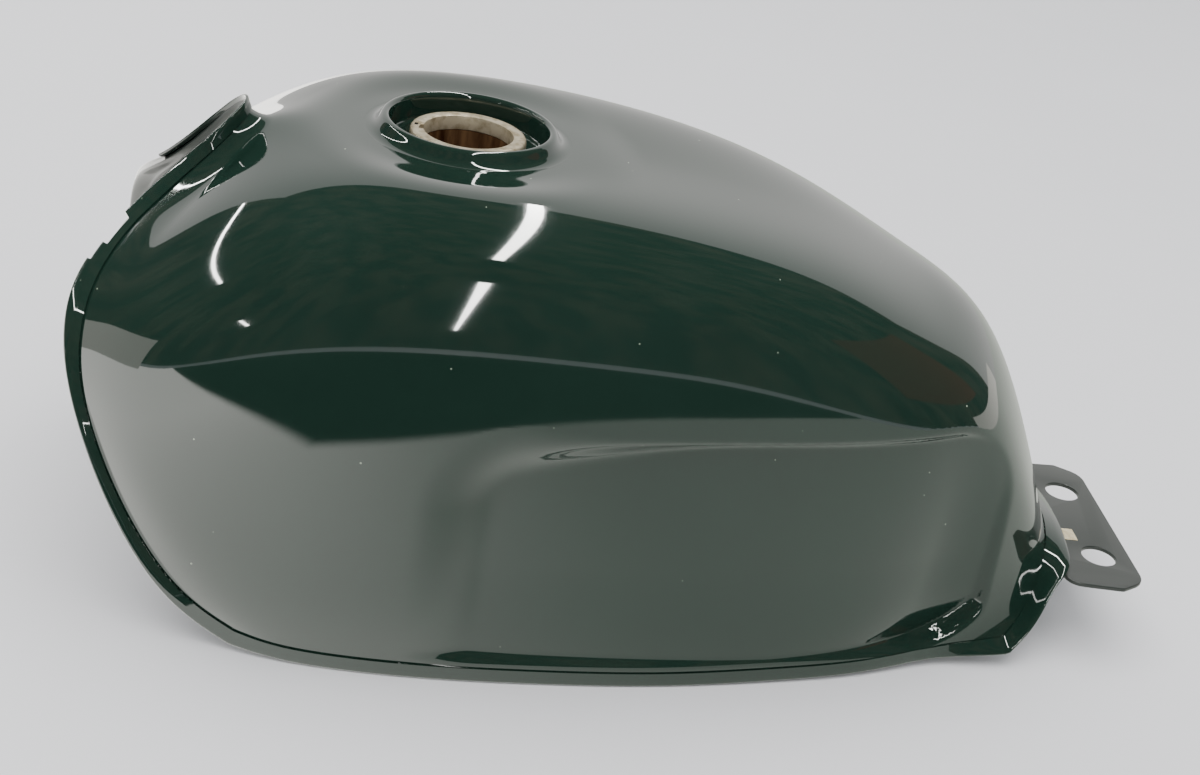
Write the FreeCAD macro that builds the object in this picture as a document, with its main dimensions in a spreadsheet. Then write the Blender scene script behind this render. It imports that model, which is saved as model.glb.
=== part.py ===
"""A pressed steel motorcycle fuel tank, built from its separate pressings and fittings.

Frame: X forward, Y to the rider's left, Z up, millimetres. The origin is in the middle of
the tank's length and width, on the level of the lowest edge of the welded seam.
"""
import FreeCAD, Part
import Sketcher
import math
import os

Vector = FreeCAD.Vector
doc = FreeCAD.newDocument("FuelTank")


# ---------------------------------------------------------------- driving dimensions
sheet = doc.addObject("Spreadsheet::Sheet", "Sizes")
row_count = 0


class Size:
    """A length: its value, and the expression that binds a feature to the sheet."""

    def __init__(self, value, text=None):
        self.value = float(value)
        self.text = text if text else "%g" % value

    def __add__(self, other):
        other = as_size(other)
        return Size(self.value + other.value, "(%s + %s)" % (self.text, other.text))

    def __sub__(self, other):
        other = as_size(other)
        return Size(self.value - other.value, "(%s - %s)" % (self.text, other.text))

    def __mul__(self, factor):
        return Size(self.value * factor, "(%s * %g)" % (self.text, factor))

    def __truediv__(self, factor):
        return Size(self.value / factor, "(%s / %g)" % (self.text, factor))

    def __neg__(self):
        return Size(-self.value, "(-1 * %s)" % self.text)

    def __radd__(self, other):
        return as_size(other) + self

    def __rsub__(self, other):
        return as_size(other) - self


def as_size(number):
    """Turn a plain number into a Size; leave a Size alone."""
    return number if isinstance(number, Size) else Size(number)


def put(alias, number):
    """Write one dimension into the sheet and give it back as a Size."""
    global row_count
    row_count += 1
    sheet.set("A%d" % row_count, alias)
    sheet.set("B%d" % row_count, "%g" % number)
    sheet.setAlias("B%d" % row_count, alias)
    return Size(number, "%s.%s" % (sheet.Name, alias))


filler_x = put("filler_x", 118.7)               # filler axis, forward of the origin
crest_level = put("crest_level", 265)          # top of the raised filler rim
sheet_metal = put("sheet_metal", 1.0)          # wall of both pressings

seat_level = put("seat_level", 257.5)          # flat seat pressed round the filler
seat_radius = put("seat_radius", 64)
seat_fade = put("seat_fade", 100)              # radius where the seat has died out
skin_hole = put("skin_hole", 56)               # hole in the outer pressing
rim_foot = put("rim_foot", 62)                 # lap of the dish under the outer pressing
rim_crest = put("rim_crest", 46.25)            # radius of the top of the raised rim
dish_wall = put("dish_wall", 44)               # inner wall of the dish
dish_floor = put("dish_floor", 250)            # level of the dish floor
collar_top = put("collar_top", 258.5)
collar_outer = put("collar_outer", 32.5)
neck_bore = put("neck_bore", 25)               # clear bore of the filler neck
neck_depth = put("neck_depth", 40)             # length of the neck tube
neck_wall = put("neck_wall", 1.2)
notch_width = put("notch_width", 8)            # notch for the tongue of the cap
notch_depth = put("notch_depth", 2.5)

recess_depth = put("recess_depth", 15)         # knee recess, an upright panel
recess_x = put("recess_x", -43)                # its middle, seen from the side
recess_top = put("recess_top", 159)
recess_length = put("recess_length", 344)
recess_corner = put("recess_corner", 52)
recess_edge = put("recess_edge", 7)            # width of its pressed edge at the rear
recess_front_edge = put("recess_front_edge", 50)
recess_soft_from = put("recess_soft_from", -60)     # where the edge starts to widen
recess_soft_run = put("recess_soft_run", 170)
recess_foot = put("recess_foot", 11)           # level of the ledge at its foot
recess_foot_edge = put("recess_foot_edge", 5)
recess_foot_rise = put("recess_foot_rise", 20)      # rise of the ledge at the rear corner
recess_foot_run = put("recess_foot_run", 45)
recess_flare = put("recess_flare", 4)          # how far the panel leans out at its foot
recess_flare_high = put("recess_flare_high", 60)
recess_half = put("recess_half", 70)           # half-width where the recess fades in
recess_half_run = put("recess_half_run", 40)
seat_reach = put("seat_reach", 40)             # the seat only moves skin this close below it
curl_share = put("curl_share", 0.5)            # share of the lip that the skin curls into
curl_long = put("curl_long", 0.55)             # stations that the curl runs back
curl_rows = put("curl_rows", 1.8)              # row where the curl starts to fade
curl_fade = put("curl_fade", 1.4)

flange_front = put("flange_front", 10)         # width of the welded seam
flange_low = put("flange_low", 8)
flange_thick = put("flange_thick", 2.0)

tunnel_half = put("tunnel_half", 46)           # half-width of the flat tunnel roof
tunnel_foot = put("tunnel_foot", 55)           # half-width at the foot of its walls

plate_level = put("plate_level", 48)           # top of the rear bracket
plate_thick = put("plate_thick", 2.5)
plate_hole = put("plate_hole", 10.75)          # radius of the two mounting holes
plate_hole_half = put("plate_hole_half", 38.5)
plate_hole_back = put("plate_hole_back", 417)  # behind the filler axis
plate_back = put("plate_back", 438)
plate_half = put("plate_half", 74)
plate_root_half = put("plate_root_half", 30)
plate_corner = put("plate_corner", 15)

plate_front = put("plate_front", 332)
doubler_thick = put("doubler_thick", 2.6)
doubler_half = put("doubler_half", 26)
doubler_back = put("doubler_back", 372)
label_back = put("label_back", 404)            # blank label, behind the filler axis
label_side = put("label_side", 16)
label_long = put("label_long", 9)
label_wide = put("label_wide", 13)
label_thick = put("label_thick", 0.2)

pipe_radius = put("pipe_radius", 4)            # drain and breather pipes
pipe_bore = put("pipe_bore", 2.8)
spigot_length = put("spigot_length", 18)
dish_hole = put("dish_hole", 26.3)             # hole in the dish for the neck tube
drain_x = filler_x - put("drain_back", 22)
drain_y = put("drain_y", 31)
drain_end = put("drain_end", 108)
vent_x = filler_x - put("vent_back", 60)
vent_y = put("vent_y", -32)
vent_end = put("vent_end", 104)
vent_top = put("vent_top", 246)

tap_x = put("tap_x", -60)                      # fuel tap flange, left lobe
tap_y = put("tap_y", 100)
tap_level = put("tap_level", 3)
tap_thick = put("tap_thick", 5)
tap_bore = put("tap_bore", 9)
tap_screw = put("tap_screw", 3)                # M6
tap_spacing = put("tap_spacing", 44)
tap_half_length = put("tap_half_length", 31)
tap_half_width = put("tap_half_width", 17)

hose_x = put("hose_x", 155)                    # balance pipe between the lobes
hose_level = put("hose_level", 24)
hose_radius = put("hose_radius", 4.5)
hose_bore = put("hose_bore", 3.2)
hose_root = put("hose_root", 54)
hose_tip = put("hose_tip", 30)

cup_x = put("cup_x", 180)                      # front mounting cups
cup_level = put("cup_level", 84)
cup_radius = put("cup_radius", 17)
cup_wall = put("cup_wall", 2)
cup_mouth = put("cup_mouth", 30)
cup_back = put("cup_back", 46)

baffle_front_x = put("baffle_front_x", 20)
baffle_rear_x = put("baffle_rear_x", -110)
baffle_metal = put("baffle_metal", 1)
baffle_low = put("baffle_low", 14)
baffle_high = put("baffle_high", 190)
baffle_window = put("baffle_window", 22)
baffle_window_half = put("baffle_window_half", 98)
baffle_window_level = put("baffle_window_level", 70)

# Lines of the outer pressing, like the offsets of a hull. Ten stations from the front edge
# to the rear edge; distances behind the filler axis, half-widths, and heights below the crest.
STATION_BACK = [-117, -90, -48, 6, 68, 136, 206, 272, 327, 385]
FORWARD_PULL = [1, 0.86, 0.62, 0.34, 0.12, 0, 0, 0, 0, 0]
REARWARD_PULL = [0, 0, 0, 0, 0, 0, 0.15, 0.45, 0.75, 1]
LINES = {
    # name: (front edge x, rear edge x, half-widths, drops below the crest)
    "crown": (-117, 385, [0, 0, 0, 0, 0, 0, 0, 0, 0, 0],
              [15, 8, 6, 6, 9, 16, 31, 55, 93, 206]),
    "brow": (-151, 383, [40, 67, 91, 101, 101, 99, 91, 79, 60, 26],
             [52, 30, 12, 7, 10, 20, 39, 69, 112, 208]),
    "shoulder": (-187, 378, [86, 118, 140, 148, 147, 140, 129, 112, 86, 48],
                 [92, 84, 73, 65, 65, 74, 90, 110, 140, 215]),
    "side": (-181, 371, [114, 138, 152, 159, 158, 152, 141, 122, 94, 64],
             [152, 160, 166, 168, 168, 168, 169, 172, 186, 226]),
    "low": (-141, 362, [132, 146, 155, 159, 157, 151, 140, 122, 98, 77],
            [222, 222, 222, 222, 222, 222, 222, 224, 230, 238]),
    "edge": (-98, 350, [142, 148, 152, 153, 150, 143, 131, 117, 101, 88],
             [253, 256, 257, 257, 257, 257, 256, 255, 253, 250]),
}
STATIONS = len(STATION_BACK)
ROWS = len(LINES)
SIDE_ROW = list(LINES).index("side")


def store_lines():
    """Put every offset of the six lines into the sheet and read them back as points."""
    points = []
    crown_front, crown_back = LINES["crown"][0], LINES["crown"][1]
    for name, (front, back, halves, drops) in LINES.items():
        line = []
        for i in range(STATIONS):
            behind = put("%s_back_%d" % (name, i),
                         STATION_BACK[i] + FORWARD_PULL[i] * (front - crown_front)
                         + REARWARD_PULL[i] * (back - crown_back))
            half = put("%s_half_%d" % (name, i), halves[i])
            drop = put("%s_drop_%d" % (name, i), drops[i])
            line.append((filler_x.value - behind.value, half.value,
                         crest_level.value - drop.value))
        points.append(line)
    return points


line_points = store_lines()
doc.recompute()


# ---------------------------------------------------------------- smooth curves and surfaces
def smooth_line(points):
    """Natural cubic spline through the points, one unit of parameter per point."""
    count = len(points)
    width = len(points[0])
    slopes = [[0.0] * width for _ in points]
    upper = [0.0] * count
    for i in range(count):
        ahead = points[min(i + 1, count - 1)]
        behind = points[max(i - 1, 0)]
        middle = 2.0 if i in (0, count - 1) else 4.0
        pivot = middle - (upper[i - 1] if i else 0.0)
        upper[i] = 1.0 / pivot
        for k in range(width):
            right = 3.0 * (ahead[k] - behind[k])
            slopes[i][k] = (right - (slopes[i - 1][k] if i else 0.0)) / pivot
    for i in range(count - 2, -1, -1):
        for k in range(width):
            slopes[i][k] -= upper[i] * slopes[i + 1][k]

    def at(t):
        i = min(max(int(t), 0), count - 2)
        s = t - i
        a = 2 * s ** 3 - 3 * s ** 2 + 1
        b = s ** 3 - 2 * s ** 2 + s
        c = 3 * s ** 2 - 2 * s ** 3
        d = s ** 3 - s ** 2
        return [a * points[i][k] + b * slopes[i][k] + c * points[i + 1][k]
                + d * slopes[i + 1][k] for k in range(width)]

    return at


def ease(x):
    """Smooth step from 0 to 1."""
    x = min(max(x, 0.0), 1.0)
    return x * x * (3 - 2 * x)


lengthways = [smooth_line(line) for line in line_points]


# How far the welded seam reaches out at the front, every half row from the nose down:
# forward, outward, up.
SEAM_FRONT = [(5, 0, 12), (6, 0, 13), (12, -16, 6), (12.5, -14, 4), (11.2, -10, 3),
              (9, -5, 2.5), (7, 0, 2), (6.5, 1, -1), (5.5, 2, -4), (4.5, 1.5, -6), (3, 1, -7.8)]
seam_front = smooth_line(SEAM_FRONT)


def nose_curl(station, across):
    """How the front edge of the skin curls up into the lip of the nose."""
    row = abs(across)
    share = curl_share.value * max(0, 1 - station / curl_long.value) ** 2
    share *= 1 - ease((row - curl_rows.value) / curl_fade.value)
    forward, outward, up = seam_front(2 * row)
    return forward * share, math.copysign(outward, outward * across) * share, up * share


def recess_panel(x, z):
    """Share of the knee recess at a place of the side: 1 on its panel, 0 outside it."""
    half_long = recess_length.value / 2
    corner = recess_corner.value
    dx = abs(x - recess_x.value) - half_long + corner
    dz = z - recess_top.value + corner
    outside = math.hypot(max(dx, 0), max(dz, 0)) + min(max(dx, dz), 0) - corner
    soft = min(max((x - recess_soft_from.value) / recess_soft_run.value, 0), 1) ** 2
    edge = recess_edge.value + (recess_front_edge.value - recess_edge.value) * soft
    rear = recess_x.value - half_long + recess_foot_run.value
    rise = min(max((rear - x) / recess_foot_run.value, 0), 1) ** 2
    foot = recess_foot.value + recess_foot_rise.value * rise
    return ease(-outside / edge) * ease((z - foot) / (recess_foot_edge.value * (1 + 2 * rise)))


def knee_recess(x, y, z, side):
    """How far the skin is pressed in; side is the half-width of the tank at this station."""
    flare = recess_flare.value * (1 - ease((z - recess_foot.value) / recess_flare_high.value))
    depth = max(abs(y) - side + recess_depth.value - flare, 0)
    return depth * recess_panel(x, z) * ease((abs(y) - recess_half.value) / recess_half_run.value)


def outer_point(station, across):
    """Point of the outer pressing; across is 0 at the crown and +-5 at the bottom edges."""
    rows = [line(station) for line in lengthways]
    mirrored = [[x, -y, z] for x, y, z in reversed(rows[1:])]
    place = smooth_line(mirrored + rows)(across + ROWS - 1)
    x, y, z = [a + b for a, b in zip(place, nose_curl(station, across))]
    y -= math.copysign(knee_recess(x, y, z, rows[SIDE_ROW][1]), y)
    radius = math.hypot(x - filler_x.value, y)
    seat = 1 - ease((radius - seat_radius.value) / (seat_fade.value - seat_radius.value))
    if z > seat_level.value - seat_reach.value:
        z += (seat_level.value - z) * seat
    return Vector(x, y, z)


def end_knots(count):
    """Multiplicities and knots of a clamped cubic with this many control points."""
    spans = count - 3
    return [4] + [1] * (spans - 1) + [4], list(range(spans + 1))


def surface_over(grid):
    """Smooth cubic face over a net of control points."""
    across_mults, across_knots = end_knots(len(grid))
    along_mults, along_knots = end_knots(len(grid[0]))
    surface = Part.BSplineSurface()
    surface.buildFromPolesMultsKnots(grid, across_mults, along_mults, across_knots,
                                     along_knots, False, False, 3, 3)
    return surface.toShape()


def wall_from(grid, thickness):
    """A closed sheet-metal wall that grows from one face over a net of points."""
    return surface_over(grid).makeOffsetShape(thickness, 0.01, fill=True)


def strip_over(one, other):
    """Face that is smooth along two rails of control points and straight between them."""
    mults, knots = end_knots(len(one))
    surface = Part.BSplineSurface()
    surface.buildFromPolesMultsKnots([one, other], [2, 2], mults, [0, 1], knots,
                                     False, False, 1, 3)
    return surface.toShape()


def feature(label, shape):
    """Keep a finished shape in the document under its own name."""
    piece = doc.addObject("Part::Feature", label)
    piece.Shape = shape
    piece.Label = label
    return piece


# ---------------------------------------------------------------- outer pressing
LENGTH_STEPS = 63
ACROSS_STEPS = 90


def outer_grid():
    """Points of the painted side of the outer pressing."""
    grid = []
    for j in range(ACROSS_STEPS + 1):
        across = (ROWS - 1) * (2 * j / ACROSS_STEPS - 1)
        grid.append([outer_point((STATIONS - 1) * i / LENGTH_STEPS, across)
                     for i in range(LENGTH_STEPS + 1)])
    return grid


skin_points = outer_grid()


def make_outer_shell():
    """The outer pressing with the hole that the filler dish is welded into."""
    wall = wall_from(skin_points, -sheet_metal.value)
    cutter = Part.makeCylinder(skin_hole.value, 80,
                               Vector(filler_x.value, 0, seat_level.value - 30))
    return feature("outer_shell", wall.cut(cutter))


# ---------------------------------------------------------------- edge that both pressings share
FRONT_END = 0.37        # share of the edge that runs down the front
BOTTOM_END = 0.91       # share where the bottom edge ends and the rear edge starts
TINY = 0.02             # step for slopes, in stations or rows


def edge_place(fraction):
    """Station and row of a point of the left-hand edge, from nose (0) to rear middle (1)."""
    if fraction < FRONT_END:
        return 0.0, (ROWS - 1) * fraction / FRONT_END
    if fraction < BOTTOM_END:
        return (STATIONS - 1) * (fraction - FRONT_END) / (BOTTOM_END - FRONT_END), ROWS - 1.0
    return STATIONS - 1.0, (ROWS - 1) * (1 - fraction) / (1 - BOTTOM_END)


def edge_normal(station, across):
    """Outward normal of the outer pressing near its edge."""
    s0, s1 = max(station - TINY, 0), min(station + TINY, STATIONS - 1)
    a0, a1 = across - TINY, min(across + TINY, ROWS - 1)
    along = outer_point(s1, across) - outer_point(s0, across)
    over = outer_point(station, a1) - outer_point(station, a0)
    normal = over.cross(along)
    normal.normalize()
    return normal


# How far the welded seam reaches out below the lobes and round the rear.
SEAM_LOW = (0, 1, -7.8)
SEAM_REAR = [(-3, 8, -6), (-5, 11, 0), (-8, 10, 5), (-12, 12, 2), (-13, 4, -4), (-13, 0, -6)]
seam_rear = smooth_line(SEAM_REAR)


def seam_reach(fraction):
    """Vector from the root of the seam to its free edge."""
    station, across = edge_place(fraction)
    if fraction < FRONT_END:
        return Vector(*seam_front(2 * across)) - Vector(*nose_curl(station, across))
    if fraction > BOTTOM_END:
        return Vector(*seam_rear(ROWS - 1 - across))
    low = Vector(*SEAM_LOW)
    low += (Vector(*SEAM_FRONT[-1]) - low) * ease(1 - station)
    return low + (Vector(*SEAM_REAR[0]) - low) * ease(station - STATIONS + 2)


# ---------------------------------------------------------------- welded seam
SEAM_STEPS = 96
SEAM_LOOK = 0.004        # how far ahead and behind the run of the seam is measured
# Where the seam is cut back at the front: from, to, share of the width that is left.
LEFT_NOTCHES = [(0.098, 0.117, 0.5), (0.117, 0.13, 0.8)]
RIGHT_NOTCHES = [(0.085, 0.2, 0.15)]
SEAM_GAP = 0.04          # share of the width left free at the root


def seam_width(fraction, notches):
    """Share of the full reach that the notches leave."""
    for start, end, share in notches:
        if start < fraction < end:
            return share
    return 1.0


def seam_half(notches):
    """The left half of the welded seam, cut back by its notches."""
    rails = [[], [], [], []]
    for i in range(SEAM_STEPS + 1):
        fraction = i / SEAM_STEPS
        root = outer_point(*edge_place(fraction))
        ahead = outer_point(*edge_place(min(fraction + SEAM_LOOK, 1)))
        behind = outer_point(*edge_place(max(fraction - SEAM_LOOK, 0)))
        along = ahead - behind
        reach = seam_reach(fraction)
        if i in (0, SEAM_STEPS):
            along = Vector(0, 1 if i == 0 else -1, 0)
            root.y = 0
            reach.y = 0
        skew = along.cross(reach)
        skew.normalize()
        skew *= flange_thick.value / 2
        near = root + reach * SEAM_GAP
        far = root + reach * seam_width(fraction, notches)
        for rail, point in zip(rails, (near + skew, far + skew, far - skew, near - skew)):
            rail.append(point)
    faces = [strip_over(rails[k], rails[(k + 1) % 4]) for k in range(4)]
    for end in (0, -1):
        corners = [rail[end] for rail in rails]
        faces.append(Part.Face(Part.makePolygon(corners + corners[:1])))
    shell = Part.makeShell(faces)
    shell.sewShape()
    half = Part.makeSolid(Part.Shell(shell.Faces))
    if half.Volume < 0:
        half.reverse()
    return half


def make_seam_flange():
    """Both halves of the welded seam, joined at the nose and at the rear."""
    right = seam_half(RIGHT_NOTCHES).mirror(Vector(0, 0, 0), Vector(0, 1, 0))
    return feature("seam_flange", Part.makeCompound([seam_half(LEFT_NOTCHES), right]))


# ---------------------------------------------------------------- inner pressing
# Middle line of the inner pressing: front wall behind the steering head, tunnel roof, rear.
# Distances behind the filler axis and drops below the crest, evenly spaced along the edge.
MIDDLE_LINE = [(-122, 8), (-163, 58), (-176, 100), (-122, 128), (-50, 138), (30, 146),
               (112, 156), (196, 170), (278, 191), (345, 212), (381, 214)]
middle_line = smooth_line(MIDDLE_LINE)
INNER_STEPS = 64
INNER_ENDS = (0.012, 0.988)
LAP_GAP = 1.3            # clear of the outer pressing's wall at the edge
NOSE_LAP = 0.6           # share of the lip that the front wall stands behind
NOSE_ROWS = 1.3          # row where the front wall starts to drop back to the root
NOSE_FADE = 0.9


def inner_row(fraction):
    """One line of the inner pressing from the left edge to the right edge."""
    station, across = edge_place(fraction)
    root = outer_point(station, across)
    edge = root - edge_normal(station, across) * LAP_GAP
    if fraction < FRONT_END:
        reach = seam_reach(fraction)
        along = outer_point(station, across + TINY) - outer_point(station, across - TINY)
        inward = along.cross(reach)
        inward.normalize()
        inside = root + reach * NOSE_LAP + inward * LAP_GAP
        edge += (inside - edge) * (1 - ease((across - NOSE_ROWS) / NOSE_FADE))
    back, drop = middle_line(fraction * (len(MIDDLE_LINE) - 1))
    middle = Vector(filler_x.value - back, 0, crest_level.value - drop)
    roof = min(tunnel_half.value, 0.55 * edge.y)
    foot = min(tunnel_foot.value, 0.85 * edge.y)
    halves = [roof * share for share in (0, 0.4, 0.75, 0.93, 1)]
    halves += [roof + (foot - roof) * share for share in (0.2, 0.4, 0.6, 0.8, 1)]
    halves += [foot + (edge.y - foot) * share for share in (0.06, 0.25, 0.5, 0.75, 1)]
    row = []
    for half in halves:
        depth = 1 - ease((half - roof) / (foot - roof))
        row.append(Vector(edge.x + (middle.x - edge.x) * depth, half,
                          edge.z + (middle.z - edge.z) * depth))
    mirrored = [Vector(p.x, -p.y, p.z) for p in reversed(row[1:])]
    return mirrored + row


def inner_holes():
    """Holes of the inner pressing for the tap, the hose spigots and the two pipes."""
    x, y = tap_x.value, tap_y.value
    holes = [Part.makeCylinder(tap_bore.value, 30, Vector(x, y, -5))]
    for pipe_x, pipe_y in ((drain_x.value, drain_y.value), (vent_x.value, vent_y.value)):
        holes.append(Part.makeCylinder(pipe_radius.value, 60, Vector(pipe_x, pipe_y, 90)))
    holes.append(Part.makeCylinder(hose_radius.value, 140,
                                   Vector(hose_x.value, -70, hose_level.value), Vector(0, 1, 0)))
    return holes


def make_inner_shell():
    """The inner pressing: front wall, tunnel and the floors of both lobes."""
    first, last = INNER_ENDS
    grid = [inner_row(first + (last - first) * i / INNER_STEPS)
            for i in range(INNER_STEPS + 1)]
    wall = wall_from(grid, -sheet_metal.value)
    for cutter in inner_holes():
        wall = wall.cut(cutter)
    return feature("inner_shell", wall)


# ---------------------------------------------------------------- sketched pieces
def new_body(label, x=0, y=0, z=0):
    """A PartDesign body that stands at a place given by sizes of the sheet."""
    body = doc.addObject("PartDesign::Body", label)
    body.Label = label
    for axis, place in zip("xyz", (x, y, z)):
        body.setExpression("Placement.Base.%s" % axis, as_size(place).text)
    return body


def new_sketch(body, name, role):
    """A sketch on one of the body's own origin planes."""
    sketch = body.newObject("Sketcher::SketchObject", name)
    plane = [item for item in body.Origin.OriginFeatures if item.Role == role][0]
    sketch.AttachmentSupport = (plane, [""])
    sketch.MapMode = "FlatFace"
    return sketch


def pin(sketch, line, end, place):
    """Fix one end of a line at two sizes from the sketch's origin."""
    for kind, size in zip(("DistanceX", "DistanceY"), place):
        index = sketch.addConstraint(Sketcher.Constraint(kind, -1, 1, line, end, size.value))
        sketch.setExpression("Constraints[%d]" % index, size.text)


def draw_outline(sketch, places):
    """A closed outline of straight lines with every corner bound to the sheet."""
    places = [(as_size(u), as_size(v)) for u, v in places]
    corners = [Vector(u.value, v.value, 0) for u, v in places]
    first = sketch.GeometryCount
    for i, corner in enumerate(corners):
        sketch.addGeometry(Part.LineSegment(corner, corners[(i + 1) % len(corners)]), False)
    for i, place in enumerate(places):
        following = first + (i + 1) % len(places)
        sketch.addConstraint(Sketcher.Constraint("Coincident", first + i, 2, following, 1))
        pin(sketch, first + i, 1, place)


def draw_circle(sketch, u, v, radius):
    """A circle bound to the sheet."""
    u, v = as_size(u), as_size(v)
    circle = Part.Circle(Vector(u.value, v.value, 0), Vector(0, 0, 1), radius.value)
    index = sketch.addGeometry(circle, False)
    pin(sketch, index, 3, (u, v))
    bound = sketch.addConstraint(Sketcher.Constraint("Radius", index, radius.value))
    sketch.setExpression("Constraints[%d]" % bound, radius.text)


def turned(label, outline, **place):
    """A piece turned round the vertical axis of its body from a half-section."""
    body = new_body(label, **place)
    sketch = new_sketch(body, label + "_section", "XZ_Plane")
    draw_outline(sketch, outline)
    turning = body.newObject("PartDesign::Revolution", label + "_turned")
    turning.Profile = sketch
    turning.ReferenceAxis = (sketch, ["V_Axis"])
    turning.Angle = 360
    sketch.Visibility = False
    return body


def padded(body, name, role, length, draw):
    """Add a pad whose sketch is drawn by a function."""
    sketch = new_sketch(body, name + "_sketch", role)
    draw(sketch)
    pad = body.newObject("PartDesign::Pad", name)
    pad.Profile = sketch
    pad.setExpression("Length", as_size(length).text)
    return pad


def cut_through(body, name, role, draw):
    """Cut a sketched shape through the whole body, both ways."""
    sketch = new_sketch(body, name + "_sketch", role)
    draw(sketch)
    pocket = body.newObject("PartDesign::Pocket", name)
    pocket.Profile = sketch
    pocket.Type = "ThroughAll"
    pocket.Midplane = True
    return pocket


def make_filler_dish():
    """Raised rim and recessed cup, pressed from one sheet and lapped under the skin."""
    metal = sheet_metal
    lap = seat_level - metal
    body = turned("filler_dish", [
        (rim_foot, lap), (rim_crest + 8, lap), (rim_crest + 4, crest_level - 4),
        (rim_crest + 1.3, crest_level - 0.6), (rim_crest, crest_level),
        (rim_crest - 1.3, crest_level - 0.6), (dish_wall, crest_level - 2.5),
        (dish_wall, dish_floor + 2.5), (dish_wall - 2.5, dish_floor),
        (dish_hole, dish_floor), (dish_hole, dish_floor - metal),
        (dish_wall - 2.1, dish_floor - metal), (dish_wall + metal, dish_floor + 2.1),
        (dish_wall + metal, crest_level - 2.8), (rim_crest, crest_level - 1.3),
        (rim_crest + 0.7, crest_level - 1.6), (rim_crest + 3.1, crest_level - 4.5),
        (rim_crest + 7.2, lap - metal), (rim_foot, lap - metal)], x=filler_x)
    cut_through(body, "drain_hole", "XY_Plane",
                lambda sketch: draw_circle(sketch, drain_x - filler_x, drain_y, pipe_radius))
    return body


def make_filler_collar():
    """The plain ring that the cap locks into, with a notch for its tongue."""
    body = turned("filler_collar", [
        (neck_bore, dish_floor), (collar_outer, dish_floor), (collar_outer, collar_top - 1.6),
        (collar_outer - 1.6, collar_top), (neck_bore, collar_top)], x=filler_x)
    half = notch_width / 2
    cut_through(body, "cap_notch", "XY_Plane", lambda sketch: draw_outline(sketch, [
        (neck_bore - 3, -half), (neck_bore + notch_depth, -half),
        (neck_bore + notch_depth, half), (neck_bore - 3, half)]))
    return body


def make_neck_tube():
    """Tube under the collar that guides the nozzle and sets the full level."""
    outer = neck_bore + neck_wall
    return turned("neck_tube", [
        (neck_bore, dish_floor - neck_depth), (outer, dish_floor - neck_depth),
        (outer, dish_floor), (neck_bore, dish_floor)], x=filler_x)


def make_pipe(label, x, y, low, high):
    """A straight pipe through the fuel space."""
    return turned(label, [(pipe_bore, low), (pipe_radius, low), (pipe_radius, high),
                          (pipe_bore, high)], x=x, y=y)


def make_spigot(label, x, y, top):
    """A hose end with a collar, below the tunnel roof."""
    tip = top - spigot_length
    return turned(label, [
        (pipe_bore, tip), (pipe_radius - 0.8, tip), (pipe_radius, tip + 0.8),
        (pipe_radius, top - 1.5), (pipe_radius + 2, top - 1.5),
        (pipe_radius + 2, top), (pipe_bore, top)], x=x, y=y)


def make_tap_boss():
    """Flange under the left lobe for the fuel tap: a centre hole and two tapped holes."""
    body = new_body("tap_boss", tap_x, tap_y, tap_level)

    def plate(sketch):
        half, side = tap_half_length, tap_half_width
        nose = side - 8
        draw_outline(sketch, [(-half, -nose), (-half + 8, -side), (half - 8, -side),
                              (half, -nose), (half, nose), (half - 8, side),
                              (-half + 8, side), (-half, nose)])
        draw_circle(sketch, 0, 0, tap_bore)
        for sign in (-1, 1):
            draw_circle(sketch, tap_spacing * (sign / 2), 0, tap_screw)

    padded(body, "tap_plate", "XY_Plane", tap_thick, plate)
    return body


def make_crossover(label, side):
    """Hose spigot of the balance pipe in one tunnel wall, pointing at the other."""
    body = new_body(label, hose_x, 0, hose_level)
    sketch = new_sketch(body, label + "_section", "XY_Plane")
    root, tip = hose_root * side, hose_tip * side
    draw_outline(sketch, [
        (hose_bore, tip), (hose_radius - 0.8, tip), (hose_radius, tip + 0.8 * side),
        (hose_radius, root), (hose_bore, root)])
    turning = body.newObject("PartDesign::Revolution", label + "_turned")
    turning.Profile = sketch
    turning.ReferenceAxis = (sketch, ["V_Axis"])
    turning.Angle = 360
    return body


def make_front_cup(label, side):
    """Open cup that sits over the frame's rubber mounting at the front of the tunnel."""
    body = new_body(label, cup_x, 0, cup_level)
    sketch = new_sketch(body, label + "_section", "XY_Plane")
    mouth, back = cup_mouth * side, cup_back * side
    floor = back - cup_wall * side
    outer = cup_radius + cup_wall
    draw_outline(sketch, [(0, floor), (cup_radius, floor), (cup_radius, mouth),
                          (outer, mouth), (outer, back), (0, back)])
    turning = body.newObject("PartDesign::Revolution", label + "_turned")
    turning.Profile = sketch
    turning.ReferenceAxis = (sketch, ["V_Axis"])
    turning.Angle = 360
    return body


def make_cup_bracket(label, side, tunnel_wall):
    """Packing plate between a cup and the slanted tunnel wall, cut to the wall."""
    half = cup_radius.value + cup_wall.value + 4
    depth = 12
    low = cup_back.value if side > 0 else -cup_back.value - depth
    block = Part.makeBox(2 * half, depth, 2 * half,
                         Vector(cup_x.value - half, low, cup_level.value - half))
    parts = block.cut(tunnel_wall).Solids
    near = min(parts, key=lambda solid: abs(solid.CenterOfMass.y))
    return feature(label, near)


def make_baffle(label, x, walls):
    """Slosh plate across both lobes, cut to the pressings, with two windows."""
    low, high = baffle_low.value, baffle_high.value
    slab = Part.makeBox(baffle_metal.value, 400, high - low, Vector(x.value, -200, low))
    for wall in walls:
        slab = slab.cut(wall)
    target = Vector(x.value + baffle_metal.value / 2, 100, (low + high) / 2)
    inside = min(slab.Solids, key=lambda solid: solid.distToShape(Part.Vertex(target))[0])
    for side in (-1, 1):
        inside = inside.cut(Part.makeCylinder(
            baffle_window.value, 20, Vector(x.value - 10, side * baffle_window_half.value,
                                            baffle_window_level.value), Vector(1, 0, 0)))
    return feature(label, inside)


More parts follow.
